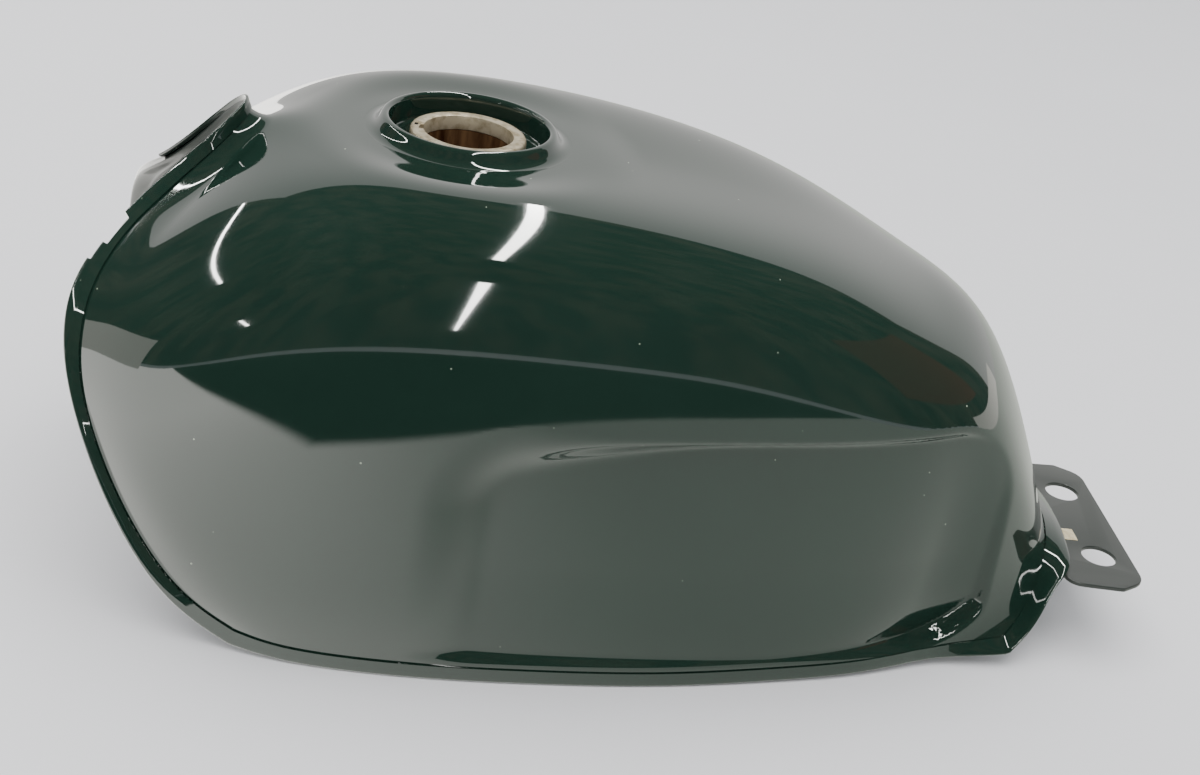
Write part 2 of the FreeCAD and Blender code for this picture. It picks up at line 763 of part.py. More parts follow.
def make_rear_bracket():
    """Flat plate with two large holes that bolts the tank down at the rear."""
    body = new_body("rear_bracket", filler_x, 0, plate_level - plate_thick)
    neck_back = plate_back - 50
    half_outline = [(plate_front, plate_root_half), (neck_back - 4, plate_root_half),
                    (neck_back - 2, plate_half - 10), (neck_back, plate_half + 4),
                    (neck_back + 8, plate_half), (plate_back - 14, plate_half),
                    (plate_back, plate_half - 16)]

    def plate(sketch):
        left = [(-back, half) for back, half in half_outline]
        right = [(-back, -half) for back, half in reversed(half_outline)]
        draw_outline(sketch, left + right)
        for side in (-1, 1):
            draw_circle(sketch, -plate_hole_back, plate_hole_half * side, plate_hole)

    padded(body, "plate", "XY_Plane", plate_thick, plate)
    return body


def make_bracket_doubler():
    """Packing plate between the bracket and the rear of the tunnel roof."""
    body = new_body("bracket_doubler", filler_x, 0, plate_level)
    padded(body, "doubler", "XY_Plane", doubler_thick, lambda sketch: draw_outline(sketch, [
        (-plate_front - 4, -doubler_half), (-plate_front - 4, doubler_half),
        (-doubler_back, doubler_half), (-doubler_back, -doubler_half)]))
    return body


def make_bracket_label():
    """Small blank label on the bracket."""
    body = new_body("bracket_label", filler_x - label_back, label_side, plate_level)
    padded(body, "label", "XY_Plane", label_thick, lambda sketch: draw_outline(sketch, [
        (-label_long / 2, -label_wide / 2), (label_long / 2, -label_wide / 2),
        (label_long / 2, label_wide / 2), (-label_long / 2, label_wide / 2)]))
    return body


def make_all():
    """Every piece of the tank."""
    outer = make_outer_shell()
    inner = make_inner_shell()
    pieces = [outer, inner, make_seam_flange(), make_filler_dish(), make_filler_collar(),
              make_neck_tube(), make_rear_bracket(), make_bracket_doubler(),
              make_bracket_label(), make_tap_boss(),
              make_pipe("drain_pipe", drain_x, drain_y, drain_end, dish_floor - sheet_metal),
              make_pipe("vent_pipe", vent_x, vent_y, vent_end, vent_top),
              make_spigot("drain_spigot", drain_x, drain_y, drain_end),
              make_spigot("vent_spigot", vent_x, vent_y, vent_end)]
    for name, side in (("left", 1), ("right", -1)):
        pieces.append(make_crossover("crossover_spigot_" + name, side))
        pieces.append(make_front_cup("front_cup_" + name, side))
        pieces.append(make_cup_bracket("cup_bracket_" + name, side, inner.Shape))
    walls = (outer.Shape, inner.Shape)
    pieces.append(make_baffle("baffle_front", baffle_front_x, walls))
    pieces.append(make_baffle("baffle_rear", baffle_rear_x, walls))
    return pieces


def check_document(pieces):
    """Stop if any object failed or any piece is not one sound shape."""
    doc.recompute()
    for item in doc.Objects:
        if "Invalid" in item.State or "Error" in item.State:
            raise RuntimeError("%s is in state %s" % (item.Label, item.State))
    for piece in pieces:
        shape = piece.Shape
        if shape.isNull() or not shape.isValid() or not shape.Solids:
            raise RuntimeError("%s has no sound shape" % piece.Label)


pieces = make_all()
check_document(pieces)
os.makedirs("parts", exist_ok=True)
whole = FreeCAD.BoundBox()
for piece in pieces:
    piece.Shape.exportStep("parts/%s.step" % piece.Label)
    whole.add(piece.Shape.BoundBox)
    print("%-24s %d solid(s) %10.0f mm3" % (piece.Label, len(piece.Shape.Solids),
                                          piece.Shape.Volume))
print(whole)
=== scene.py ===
# %% [markdown]
# A painted steel fuel tank. The real one is two pressings welded along a seam that runs right
# round it, with a pressed rim and a cup for the filler, a plain ring that the cap locks into,
# and a plate with two holes at the rear. Big smooth sheet metal under gloss paint shows every
# ripple, so the visible pressings are rebuilt here as dense smooth meshes from the same lines
# as the CAD model, and the small fittings keep their CAD shape and only get a finish.

# %% Load the frame
import math
import bpy
import bmesh
import numpy as np
from mathutils import Matrix, Vector


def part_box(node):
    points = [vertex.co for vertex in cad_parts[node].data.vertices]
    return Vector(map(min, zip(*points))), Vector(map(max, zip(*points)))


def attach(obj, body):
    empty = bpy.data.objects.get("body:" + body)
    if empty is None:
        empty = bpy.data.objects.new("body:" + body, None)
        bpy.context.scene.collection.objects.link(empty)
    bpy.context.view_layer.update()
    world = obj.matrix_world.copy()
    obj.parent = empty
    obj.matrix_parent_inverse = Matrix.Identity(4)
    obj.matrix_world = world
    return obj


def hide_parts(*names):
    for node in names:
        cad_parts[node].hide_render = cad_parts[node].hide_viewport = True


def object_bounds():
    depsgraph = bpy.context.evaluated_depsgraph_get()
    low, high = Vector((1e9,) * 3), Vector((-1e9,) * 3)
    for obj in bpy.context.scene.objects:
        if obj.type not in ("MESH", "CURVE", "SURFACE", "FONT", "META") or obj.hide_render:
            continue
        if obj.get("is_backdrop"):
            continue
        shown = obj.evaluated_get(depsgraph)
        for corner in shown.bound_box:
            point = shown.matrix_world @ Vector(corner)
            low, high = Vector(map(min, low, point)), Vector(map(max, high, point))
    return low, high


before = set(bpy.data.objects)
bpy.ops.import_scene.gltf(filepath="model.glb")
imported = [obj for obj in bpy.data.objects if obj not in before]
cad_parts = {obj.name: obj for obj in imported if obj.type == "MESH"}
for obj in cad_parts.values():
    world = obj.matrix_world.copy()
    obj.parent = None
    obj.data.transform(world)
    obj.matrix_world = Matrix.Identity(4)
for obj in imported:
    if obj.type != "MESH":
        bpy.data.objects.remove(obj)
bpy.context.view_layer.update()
MM = 0.001
collar_low, collar_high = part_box("filler_collar")
FILLER_X = (collar_low.x + collar_high.x) / 2
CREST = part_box("filler_dish")[1].z
SEAT = CREST - 7.5 * MM
print(len(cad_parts), "nodes, filler at x =", round(FILLER_X, 4), "crest", round(CREST, 4))

# %% [markdown]
# Materials first. A shader is arithmetic on textures, and it reads best when it is written as
# arithmetic. The class below wraps the output of a node, so that `1 - mask` or `speck * 0.4`
# adds the Math node by itself. Every other node comes from one method, which is given the
# node's kind, its settings and its sockets.


# %% A socket that can be written in sums
class Wire:
    """Output socket of a node; sums and products of it add Math nodes."""

    def __init__(self, finish, socket):
        self.finish = finish
        self.socket = socket

    def math(self, operation, first, second):
        return self.finish.node("Math", {"operation": operation}, {0: first, 1: second})

    def __add__(self, other):
        return self.math("ADD", self, other)

    def __sub__(self, other):
        return self.math("SUBTRACT", self, other)

    def __mul__(self, other):
        return self.math("MULTIPLY", self, other)

    def __lt__(self, other):
        return self.math("LESS_THAN", self, other)

    def __gt__(self, other):
        return self.math("GREATER_THAN", self, other)

    def __rsub__(self, other):
        return self.math("SUBTRACT", other, self)

    __radd__ = __add__
    __rmul__ = __mul__


class Finish:
    """A material whose nodes are made one call at a time."""

    def __init__(self, name):
        self.material = bpy.data.materials.new(name)
        self.material.use_nodes = True
        self.tree = self.material.node_tree
        self.tree.nodes.clear()

    def node(self, kind, settings, sockets, output=0):
        made = self.tree.nodes.new("ShaderNode" + kind)
        for name, value in settings.items():
            setattr(made, name, value)
        for name, value in sockets.items():
            if isinstance(value, Wire):
                self.tree.links.new(value.socket, made.inputs[name])
            else:
                made.inputs[name].default_value = value
        return Wire(self, made.outputs[output])

    def place(self):
        return self.node("TexCoord", {}, {}, "Object")

    def noise(self, size, detail=2.0, stretch=None):
        """Noise from 0 to 1 whose blobs are about size metres across."""
        where = self.place()
        if stretch:
            where = self.node("Mapping", {}, {"Vector": where, "Scale": stretch})
        return self.node("TexNoise", {}, {"Vector": where, "Scale": 1 / size, "Detail": detail})

    def ramp(self, value, low, high):
        """Stretch the values from low to high over 0 to 1."""
        span = {"Value": value, "From Min": low, "From Max": high}
        return self.node("MapRange", {"clamp": True}, span)

    def mix(self, share, one, other):
        return self.node("Mix", {"data_type": "RGBA"}, {0: share, 6: one, 7: other}, 2)

    def bump(self, height, depth, strength=1.0):
        return self.node("Bump", {}, {"Height": height, "Distance": depth, "Strength": strength})

    def shade(self, **sockets):
        named = {name.replace("_", " "): value for name, value in sockets.items()}
        shader = self.node("BsdfPrincipled", {}, named)
        self.surface(shader)
        return self.material

    def surface(self, shader):
        out = self.tree.nodes.new("ShaderNodeOutputMaterial")
        self.tree.links.new(shader.socket, out.inputs["Surface"])


def colour(red, green, blue):
    """Colour from the 0-255 values of a paint chart to the linear values of a shader."""
    return tuple((c / 255 / 12.92 if c < 10.3 else ((c / 255 + 0.055) / 1.055) ** 2.4)
                 for c in (red, green, blue)) + (1.0,)


print("shader helpers ready")

# %% [markdown]
# The paint is a very dark green under clear lacquer. Nearly all that is seen of it is the
# reflection of the room, so the lacquer is a coat with a clean surface over a colour that is
# a little less clean. Sprayed lacquer is never optically flat: it has a faint orange peel of
# about four millimetres. Settled dust shows as tiny pale dots.


# %% Dark green lacquer
def dust(finish, spacing, size, share):
    """Mask of tiny round dots, in a share of the cells of a Voronoi texture."""
    cells = {"Vector": finish.place(), "Scale": 1 / spacing}
    near = finish.node("TexVoronoi", {}, cells, "Distance")
    tint = finish.node("TexVoronoi", {}, cells, "Color")
    pick = finish.node("SeparateColor", {}, {"Color": tint}, 0)
    reach = finish.node("SeparateColor", {}, {"Color": tint}, 1) * (size / spacing)
    return (near < reach) * (pick < share)


def green_paint(name, peel):
    finish = Finish(name)
    cloud = finish.ramp(finish.noise(0.09), 0.35, 0.65)
    base = finish.mix(cloud, colour(22, 41, 33), colour(25, 44, 36))
    specks = dust(finish, 0.012, 0.0006, 0.45)
    base = finish.mix(specks, base, colour(150, 160, 140))
    skin = finish.bump(finish.noise(0.0042, 1.0) * peel + specks * 0.35, 0.00004, 0.5)
    return finish.shade(Base_Color=base, Roughness=0.05 + specks * 0.5, Normal=skin,
                        IOR=1.5, Coat_Weight=1.0, Coat_Roughness=0.01, Coat_IOR=1.5)


paint = green_paint("green_lacquer", 0.25)
paint_rough = green_paint("green_lacquer_thick", 1.6)
print("paints", paint.name, paint_rough.name)

# %% [markdown]
# The ring and the neck were masked from the paint. The ring is turned steel with a thin
# cream-coloured plating, so it has fine rings from the tool. The neck below it has gone brown
# with fuel. The plate at the rear was painted thinly: the same green, duller and greyer.


# %% Bare and thinly painted metal
def plated_steel():
    finish = Finish("plated_steel")
    offset = finish.node("Mapping", {}, {"Vector": finish.place(), "Location": (-FILLER_X, 0, 0)})
    rings = finish.node("TexWave", {"wave_type": "RINGS", "rings_direction": "Z"},
                        {"Vector": offset, "Scale": 420.0, "Distortion": 1.2, "Detail": 2.0})
    stain = finish.ramp(finish.noise(0.006, 4.0), 0.42, 0.66)
    base = finish.mix(stain, colour(196, 184, 158), colour(150, 136, 108))
    return finish.shade(Base_Color=base, Metallic=0.55, Roughness=0.34 + stain * 0.2,
                        Normal=finish.bump(rings, 0.00005, 0.35))


def fuel_stained_steel():
    finish = Finish("fuel_stained_steel")
    streak = finish.ramp(finish.noise(0.004, 5.0, (1, 1, 0.12)), 0.35, 0.7)
    base = finish.mix(streak, colour(74, 44, 26), colour(138, 104, 70))
    return finish.shade(Base_Color=base, Metallic=0.6, Roughness=0.38 + streak * 0.25,
                        Normal=finish.bump(streak, 0.0001, 0.4))


def thin_paint():
    finish = Finish("thin_paint")
    cloud = finish.ramp(finish.noise(0.03, 4.0), 0.3, 0.7)
    grain = finish.noise(0.0014, 3.0)
    scuffs = dust(finish, 0.009, 0.0009, 0.3)
    base = finish.mix(cloud, colour(34, 42, 38), colour(44, 50, 46))
    base = finish.mix(scuffs, base, colour(120, 118, 106))
    return finish.shade(Base_Color=base, Roughness=0.3 + cloud * 0.1, IOR=1.6,
                        Normal=finish.bump(grain, 0.00004, 0.35),
                        Coat_Weight=0.5, Coat_Roughness=0.12)


def primer():
    finish = Finish("primed_steel")
    cloud = finish.ramp(finish.noise(0.02, 3.0), 0.3, 0.7)
    base = finish.mix(cloud, colour(14, 40, 31), colour(26, 48, 40))
    return finish.shade(Base_Color=base, Roughness=0.32 + cloud * 0.14, Coat_Weight=0.4,
                        Normal=finish.bump(finish.noise(0.0018, 2.0), 0.00005, 0.3))


def paper():
    finish = Finish("cream_label")
    fibre = finish.ramp(finish.noise(0.0009, 4.0), 0.35, 0.7)
    edge = finish.ramp(finish.noise(0.004, 2.0), 0.4, 0.62)
    base = finish.mix(fibre * 0.4 + edge * 0.5, colour(214, 202, 168), colour(176, 158, 118))
    return finish.shade(Base_Color=base, Roughness=0.6, Normal=finish.bump(fibre, 0.00005, 0.5))


steel, stained, plate_paint, primed, label_paper = (
    plated_steel(), fuel_stained_steel(), thin_paint(), primer(), paper())
print("finishes", [m.name for m in (steel, stained, plate_paint, primed, label_paper)])

# %% [markdown]
# A pressing is drawn with a few long lines, as a boat is: ten stations from nose to tail, six
# lines from the crown down to the bottom edge. A natural cubic spline through the stations,
# then one through the six lines and their mirror images, gives a point anywhere on the skin.
# The knee recess and the flat seat for the filler are pressed in afterwards, as in the shop.

# %% Lines of the outer pressing
STATION_BACK = [-117, -90, -48, 6, 68, 136, 206, 272, 327, 385]
FORWARD_PULL = [1, 0.86, 0.62, 0.34, 0.12, 0, 0, 0, 0, 0]
REARWARD_PULL = [0, 0, 0, 0, 0, 0, 0.15, 0.45, 0.75, 1]
LINES = {
    # front edge, rear edge, half-widths, drops below the crest (all in millimetres)
    "crown": (-117, 385, [0, 0, 0, 0, 0, 0, 0, 0, 0, 0],
              [15, 8, 6, 6, 9, 16, 31, 55, 93, 206]),
    "brow": (-151, 383, [40, 67, 91, 101, 101, 99, 91, 79, 60, 26],
             [52, 30, 12, 7, 10, 20, 39, 69, 112, 208]),
    "shoulder": (-187, 378, [86, 118, 140, 148, 147, 140, 129, 112, 86, 48],
                 [92, 84, 73, 65, 65, 74, 90, 110, 140, 215]),
    "side": (-181, 371, [114, 138, 152, 159, 158, 152, 141, 122, 94, 64],
             [152, 160, 166, 168, 168, 168, 169, 172, 186, 226]),
    "low": (-141, 362, [132, 146, 155, 159, 157, 151, 140, 122, 98, 77],
            [222, 222, 222, 222, 222, 222, 222, 224, 230, 238]),
    "edge": (-98, 350, [142, 148, 152, 153, 150, 143, 131, 117, 101, 88],
             [253, 256, 257, 257, 257, 257, 256, 255, 253, 250]),
}
STATIONS, ROWS = len(STATION_BACK), len(LINES)


def line_points():
    """Every line as points in metres, in the frame of the CAD model."""
    rows = []
    for front, back, halves, drops in LINES.values():
        behind = [s + f * (front - STATION_BACK[0]) + r * (back - STATION_BACK[-1])
                  for s, f, r in zip(STATION_BACK, FORWARD_PULL, REARWARD_PULL)]
        rows.append([(FILLER_X - b * MM, h * MM, CREST - d * MM)
                     for b, h, d in zip(behind, halves, drops)])
    return np.array(rows)


def spline(points):
    """Natural cubic spline through points[0], points[1], ... at parameters 0, 1, ..."""
    points = np.asarray(points, float)
    count = len(points)
    matrix = np.diag([2.0] + [4.0] * (count - 2) + [2.0])
    matrix += np.diag([1.0] * (count - 1), 1) + np.diag([1.0] * (count - 1), -1)
    padded = np.concatenate([points[:1], points, points[-1:]])
    right = 3 * (padded[2:] - padded[:-2])
    slopes = np.linalg.solve(matrix, right.reshape(count, -1)).reshape(points.shape)

    def at(t, own=False):
        """Points at parameters t; own=True takes the n-th parameter on the n-th column."""
        t = np.atleast_1d(np.asarray(t, float))
        i = np.clip(t.astype(int), 0, count - 2)
        pick = (i, np.arange(len(t))) if own else (i,)
        after = (i + 1, np.arange(len(t))) if own else (i + 1,)
        s = (t - i).reshape(len(t), *([1] * (points[pick].ndim - 1)))
        return (points[pick] * (2 * s**3 - 3 * s**2 + 1) + slopes[pick] * (s**3 - 2 * s**2 + s)
                + points[after] * (3 * s**2 - 2 * s**3) + slopes[after] * (s**3 - s**2))

    return at


def ease(x):
    """Smooth step from 0 to 1."""
    x = np.clip(x, 0, 1)
    return x * x * (3 - 2 * x)


print("lines", STATIONS, "stations x", ROWS, "rows")

# %% [markdown]
# Two things are pressed into the smooth skin. The knee recess is an upright panel with rounded
# corners, sharp at the rear and soft at the front. The nose curls up into a lip over its last
# few centimetres. Both are worked out for any point, so the net may be as dense as it needs.

# %% A point anywhere on the skin
lengthways = spline(line_points().transpose(1, 0, 2))
RECESS = {"x": -43 * MM, "top": 159 * MM, "long": 172 * MM, "corner": 52 * MM, "depth": 15 * MM,
          "edge": 7 * MM, "front edge": 50 * MM, "soft from": -60 * MM, "soft run": 170 * MM,
          "foot": 11 * MM, "foot edge": 5 * MM, "rise": 20 * MM, "rise run": 45 * MM,
          "flare": 4 * MM, "flare high": 60 * MM, "half": 70 * MM, "half run": 40 * MM}


def knee_recess(x, y, z, side):
    """How far the knee recess is pressed in: an upright panel with rounded corners."""
    r = RECESS
    dx = np.abs(x - r["x"]) - r["long"] + r["corner"]
    dz = z - r["top"] + r["corner"]
    outside = np.hypot(np.maximum(dx, 0), np.maximum(dz, 0)) + np.minimum(np.maximum(dx, dz), 0)
    outside -= r["corner"]
    soft = np.clip((x - r["soft from"]) / r["soft run"], 0, 1) ** 2
    edge = r["edge"] + (r["front edge"] - r["edge"]) * soft
    rear = np.clip((r["x"] - r["long"] + r["rise run"] - x) / r["rise run"], 0, 1) ** 2
    foot = ease((z - r["foot"] - rear * r["rise"]) / (r["foot edge"] * (1 + 2 * rear)))
    flare = r["flare"] * (1 - ease((z - r["foot"]) / r["flare high"]))
    depth = np.maximum(np.abs(y) - (side - r["depth"]) - flare, 0)
    return depth * ease(-outside / edge) * foot * ease((np.abs(y) - r["half"]) / r["half run"])


SIDE_ROW = 3
SEAT_FLAT, SEAT_BLEND, SEAT_LEVEL = 64 * MM, 36 * MM, 40 * MM
CURL_LONG, CURL_SHARE, CURL_ROWS, CURL_FADE = 0.4, 0.5, 1.2, 1.2
# reach of the seam along x, y and z in millimetres, every half row from the crown down
SEAM_FRONT = [(5, 0, 12), (6, 0, 13), (12, -16, 6), (12.5, -14, 4), (11.2, -10, 3),
              (9, -5, 2.5), (7, 0, 2), (6.5, 1, -1), (5.5, 2, -4), (4.5, 1.5, -6), (3, 1, -7.8)]
seam_front = spline(SEAM_FRONT)


def nose_curl(station, across):
    """How the front edge of the skin curls up into the lip of the nose."""
    row = np.abs(across)
    reach = seam_front(2 * row) * MM
    reach[:, 1] *= np.sign(across)
    fade = 1 - ease((row - CURL_ROWS) / CURL_FADE)
    share = CURL_SHARE * np.maximum(0, 1 - station / CURL_LONG) ** 2 * fade
    return reach * share[:, None]


def skin_at(station, across):
    """Points of the painted side; across is 0 at the crown and 5 or -5 at the bottom edges."""
    station, across = np.broadcast_arrays(np.atleast_1d(station), np.atleast_1d(across))
    station, across = station.ravel().astype(float), across.ravel().astype(float)
    rows = lengthways(station).transpose(1, 0, 2)
    mirror = rows[:0:-1] * (1, -1, 1)
    points = spline(np.concatenate([mirror, rows]))(across + ROWS - 1, own=True)
    x, y, z = (points + nose_curl(station, across)).T
    y = y - np.sign(y) * knee_recess(x, y, z, rows[SIDE_ROW][:, 1])
    radius = np.hypot(x - FILLER_X, y)
    seat = (1 - ease((radius - SEAT_FLAT) / SEAT_BLEND)) * (z > SEAT - SEAT_LEVEL)
    return np.stack([x, y, z + (SEAT - z) * seat], 1)


print("crown at the filler", skin_at(2.9, 0.0).round(4).tolist())

# %% [markdown]
# Meshes are made from arrays of points. One helper turns points and faces into an object that
# rides on the frame; another makes the faces of a net of points; a third turns a half-section
# round the filler axis; a fourth gives a sheet its thickness by a second layer and a rim that
# joins the two. Edges sharper than the given angle stay crisp, the rest is smooth.


# %% Mesh helpers
SAME_PLACE = 0.01 * MM


def build(name, points, faces, finish, stands_for, crisp=40):
    """Make a mesh object, merge doubled points, turn its faces outwards and hang it up."""
    mesh = bpy.data.meshes.new(name)
    corners = [tuple(map(float, p)) for p in points]
    mesh.from_pydata(corners, [], [tuple(map(int, f)) for f in faces])
    work = bmesh.new()
    work.from_mesh(mesh)
    bmesh.ops.remove_doubles(work, verts=work.verts, dist=SAME_PLACE)
    loose = [v for v in work.verts if not v.link_faces]
    bmesh.ops.delete(work, geom=loose, context="VERTS")
    bmesh.ops.recalc_face_normals(work, faces=work.faces)
    open_edges = sum(1 for e in work.edges if len(e.link_faces) != 2)
    work.to_mesh(mesh)
    work.free()
    mesh.shade_smooth()
    mesh.set_sharp_from_angle(angle=math.radians(crisp))
    mesh.materials.append(finish)
    piece = bpy.data.objects.new(name, mesh)
    bpy.context.scene.collection.objects.link(piece)
    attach(piece, "root")
    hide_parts(*stands_for)
    triangles = sum(len(p.vertices) - 2 for p in mesh.polygons)
    print(name, "triangles", triangles, "open edges", open_edges)
    return piece


def net_faces(rows, columns, close_rows=False, close_columns=False):
    """Quads of a net of rows x columns points numbered row by row."""
    i = np.arange(rows if close_rows else rows - 1)[:, None]
    j = np.arange(columns if close_columns else columns - 1)[None, :]
    i2, j2 = (i + 1) % rows, (j + 1) % columns
    quad = np.stack(np.broadcast_arrays(i * columns + j, i * columns + j2,
                                        i2 * columns + j2, i2 * columns + j), -1)
    return quad.reshape(-1, 4)


def turn(section, angles, own_radius=None):
    """Points and faces of a closed half-section turned round the axis of the filler."""
    points = []
    for angle in angles:
        for index, (radius, level) in enumerate(section):
            if own_radius:
                radius = own_radius(index, radius, angle)
            points.append((FILLER_X + radius * math.cos(angle), radius * math.sin(angle), level))
    return points, net_faces(len(angles), len(section), True, True)


def two_layers(points, other_points, faces):
    """A sheet and its other side, joined by a rim along every free edge."""
    total = len(points)
    edges = dict.fromkeys((a, b) for face in faces for a, b in zip(face, face[1:] + face[:1]))
    rim = [(b, a, a + total, b + total) for a, b in edges if (b, a) not in edges]
    inner = [tuple(i + total for i in reversed(face)) for face in faces]
    return np.concatenate([points, other_points]), faces + inner + rim


def round_turn(steps):
    return [2 * math.pi * i / steps for i in range(steps)]


print("mesh helpers ready")

# %% [markdown]
# The outer pressing is one net of points, dense enough that reflections run over it without
# facets. A copy of the net one millimetre inside makes it real sheet metal, and faces along
# the free edges join the two. The hole for the filler is cut in the flat seat: the points
# nearest to the circle are moved onto it and what is inside is left out.

# %% Outer pressing
LONG_STEPS, WIDE_STEPS = 168, 276
WALL = 1.0 * MM
HOLE = 57 * MM
DENSE = 1200             # points along a line when its length is measured
MID_STATION, MID_ROW = 4.5, 2.0


def even_steps(count, last, measure):
    """Parameters from 0 to last that are evenly spaced by measured length."""
    fine = np.linspace(0, last, DENSE)
    path = measure(fine)
    length = np.concatenate([[0], np.cumsum(np.linalg.norm(np.diff(path, axis=0), axis=1))])
    return np.interp(np.linspace(0, length[-1], count + 1), length, fine)


def net_of_skin():
    stations = even_steps(LONG_STEPS, STATIONS - 1, lambda s: skin_at(s, MID_ROW))
    half = even_steps(WIDE_STEPS // 2, ROWS - 1, lambda a: skin_at(MID_STATION, a))
    across = np.concatenate([-half[:0:-1], half])
    grid = skin_at(np.repeat(stations, len(across)), np.tile(across, len(stations)))
    return grid.reshape(len(stations), len(across), 3)


def net_normals(net):
    normal = np.cross(np.gradient(net, axis=0), np.gradient(net, axis=1))
    normal /= np.linalg.norm(normal, axis=-1, keepdims=True)
    return normal * np.sign(normal[len(net) // 2, net.shape[1] // 2, 2])


def outer_pressing():
    net = net_of_skin()
    points, normals = net.reshape(-1, 3), net_normals(net).reshape(-1, 3)
    faces = net_faces(*net.shape[:2])
    radius = np.hypot(points[:, 0] - FILLER_X, points[:, 1])
    inside = (radius < HOLE) & (points[:, 2] > SEAT - SEAT_LEVEL / 2)
    count = inside[faces].sum(1)
    moved = np.unique(faces[(count > 0) & (count < 4)])
    moved = moved[inside[moved]]
    centre = np.array([FILLER_X, 0.0])
    spoke = points[moved, :2] - centre
    points[moved, :2] = centre + spoke * (HOLE / np.linalg.norm(spoke, axis=1))[:, None]
    return two_layers(points, points - normals * WALL, faces[count < 4].tolist())


tank_points, tank_faces = outer_pressing()
build("tank_skin", tank_points, tank_faces, paint, ["outer_shell"], crisp=55)

# %% [markdown]
# The filler dish is a second pressing: a rounded rim that stands seven millimetres above the
# seat, and a cup that catches spilt fuel. Turned from a half-section it is exactly round. Its
# foot lies on the seat and is tangent to it, so the paint runs over the joint without a line.


# %% Filler dish
def through(places, steps):
    """Evenly sampled smooth curve through places given as (radius, level) in millimetres."""
    curve = spline(np.array(places, float))
    return (curve(np.linspace(0, len(places) - 1, steps)) * MM).tolist()


RIM_TOP = [(58.5, 257.53), (56.2, 257.56), (53.4, 258.35), (51.2, 260.4), (49.4, 263.0),
           (47.9, 264.6), (46.25, 265.0), (44.9, 264.35), (44.1, 262.6), (44.0, 259.5)]
CUP = [(44.0, 256), (44.0, 252.6), (43.4, 251.0), (41.6, 250.15), (39.5, 250.0), (27, 250.0)]
UNDERSIDE = [(26.3, 250), (26.3, 249), (40, 249), (43.4, 249.6), (45, 252), (45, 261.4),
             (46.2, 263.4), (47.4, 263.2), (49.8, 259.6), (52, 257.2), (58.5, 256.2)]
dish_section = (through(RIM_TOP, 34) + through(CUP, 14)[1:]
                + [(r * MM, z * MM) for r, z in UNDERSIDE])
dish_points, dish_faces = turn(dish_section, round_turn(192))
filler_dish = build("filler_dish_painted", dish_points, dish_faces, paint,
                    ["filler_dish"], crisp=50)

# %% [markdown]
# The drain hole is bored through the finished dish, as on the real one. A Boolean modifier
# does the same: a hidden drill is taken away from the dish, then applied so that nothing
# hidden stays in the scene.


# %% Drain hole
DRILL_SIDES = 32
DRAIN_RADIUS = 3.9 * MM
drain_low, drain_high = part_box("drain_pipe")
drain_x, drain_y = (drain_low.x + drain_high.x) / 2, (drain_low.y + drain_high.y) / 2


def bore(piece, x, y, radius, low, high):
    """Take a vertical round drill away from a piece."""
    n = DRILL_SIDES
    drill_points = [(x + radius * math.cos(a), y + radius * math.sin(a), level)
                    for level in (low, high) for a in round_turn(n)]
    drill_faces = [(i, (i + 1) % n, n + (i + 1) % n, n + i) for i in range(n)]
    drill_faces += [tuple(range(n))[::-1], tuple(range(n, 2 * n))]
    mesh = bpy.data.meshes.new("drill")
    mesh.from_pydata(drill_points, [], drill_faces)
    drill = bpy.data.objects.new("drill", mesh)
    bpy.context.scene.collection.objects.link(drill)
    cut = piece.modifiers.new("cut", "BOOLEAN")
    cut.operation, cut.object, cut.solver = "DIFFERENCE", drill, "EXACT"
    bpy.context.view_layer.update()
    graph = bpy.context.evaluated_depsgraph_get()
    done = bpy.data.meshes.new_from_object(piece.evaluated_get(graph))
    piece.modifiers.clear()
    piece.data = done
    bpy.data.objects.remove(drill)
    print(piece.name, "bored,", len(done.polygons), "faces")


bore(filler_dish, drain_x, drain_y, DRAIN_RADIUS, 240 * MM, 256 * MM)

# %% [markdown]
# The locking ring is turned from thick steel: flat on top, its outer edge rounded, with one
# notch in the bore for the tongue of the cap. The neck below has fine upright ribs left by
# the tool that flared it. Both are turned, with the bore's radius changed by angle.

# %% Locking ring and neck
NOTCH_HALF, NOTCH_RADIUS, NOTCH_DEPTH = 4 * MM, 27.5 * MM, 2.5 * MM
NOTCH = math.asin(NOTCH_HALF / NOTCH_RADIUS)
NOTCH_WALL = 0.0008      # half the angle over which the wall of the notch stands
BORE_POINTS = (0, 8, 9, 10, 11)
ring_angles = sorted(round_turn(160) + [side * NOTCH + wall for side in (-1, 1)
                                        for wall in (-NOTCH_WALL, NOTCH_WALL)])
RING = [(25.4, 250), (32.3, 250), (32.5, 250.2), (32.5, 256.2), (32.3, 257.2), (31.8, 258.0),
        (31.0, 258.45), (30.2, 258.5), (25.7, 258.5), (25.2, 258.3), (25.0, 257.9), (25.0, 250.4)]


def notched(index, radius, angle):
    from_front = (angle + math.pi) % (2 * math.pi) - math.pi
    return radius + NOTCH_DEPTH * (abs(from_front) < NOTCH and index in BORE_POINTS)


ring_points, ring_faces = turn([(r * MM, z * MM) for r, z in RING], ring_angles, own_radius=notched)
build("locking_ring", ring_points, ring_faces, steel, ["filler_collar"], crisp=30)

NECK_OUTSIDE = [(25.3, 210.1), (26.0, 210.0), (26.2, 210.4), (26.2, 249.9)]
WALL_LEVELS = 14
RIBS, RIB_DEPTH = 64, 0.28 * MM
neck_levels = [(25.0, z) for z in np.linspace(249.9, 211.0, WALL_LEVELS)] + NECK_OUTSIDE


def ribbed(index, radius, angle):
    depth = RIB_DEPTH * ease((index - 1) / 3) if index < WALL_LEVELS else 0
    return radius - depth * (0.5 + 0.5 * math.cos(RIBS * angle))


